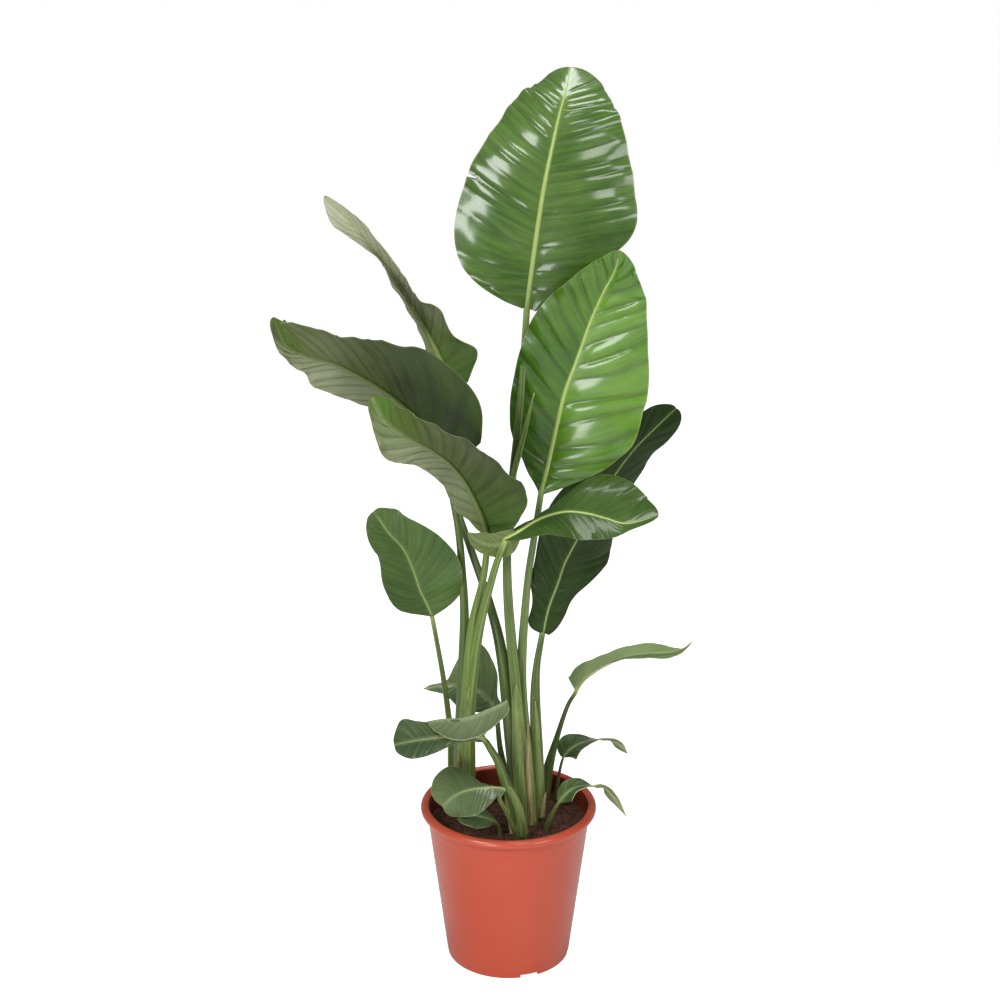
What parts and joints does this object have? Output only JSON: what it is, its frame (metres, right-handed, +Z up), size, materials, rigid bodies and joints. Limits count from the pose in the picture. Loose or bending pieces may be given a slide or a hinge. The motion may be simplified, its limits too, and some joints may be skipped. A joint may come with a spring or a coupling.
{
  "type": "potted bird of paradise plant",
  "caption": "Bird of paradise house plant with broad paddle leaves on long upright stalks, low young leaves at the base, in a round terracotta-coloured nursery pot of soil.",
  "frame": {"origin": "centre of the pot's underside, on the surface that the pot stands on", "axes": "+Z up along the pot's axis; -Y towards the plant's front, as it is pictured; +X to the right of that view"},
  "size_m": [0.5454, 0.3052, 1.1958],
  "materials": {
    "pot": "satin",
    "soil": "matte",
    "stem": "satin",
    "leaf_mature": "satin",
    "leaf_fresh": "gloss",
    "leaf_young": "satin",
    "dry_sheath": "matte"
  },
  "bodies": {
    "root": {"pot": "pot", "soil": "soil", "shoot_main": "stem", "shoot_left": "stem", "stem_paddle": "stem", "stem_low_folded": "stem", "stem_low_back": "stem", "stem_low_rim": "stem", "stem_low_under": "stem", "stem_low_right": "stem", "stem_small_back": "stem", "stem_small_front": "stem", "leaf_top": "leaf_mature", "leaf_bright": "leaf_fresh", "leaf_arching": "leaf_mature", "leaf_reaching": "leaf_mature", "leaf_drooping": "leaf_mature", "leaf_near_right": "leaf_mature", "leaf_dark_right": "leaf_mature", "leaf_paddle": "leaf_mature", "leaf_low_back": "leaf_young", "leaf_low_folded": "leaf_young", "leaf_low_rim": "leaf_young", "leaf_low_under": "leaf_young", "leaf_low_right": "leaf_young", "leaf_small_back": "leaf_young", "leaf_small_front": "leaf_young", "dry_sheath_front": "dry_sheath", "dry_sheath_right": "dry_sheath", "dry_sheath_left": "dry_sheath", "dry_sheath_low": "dry_sheath"}
  },
  "joints": []
}
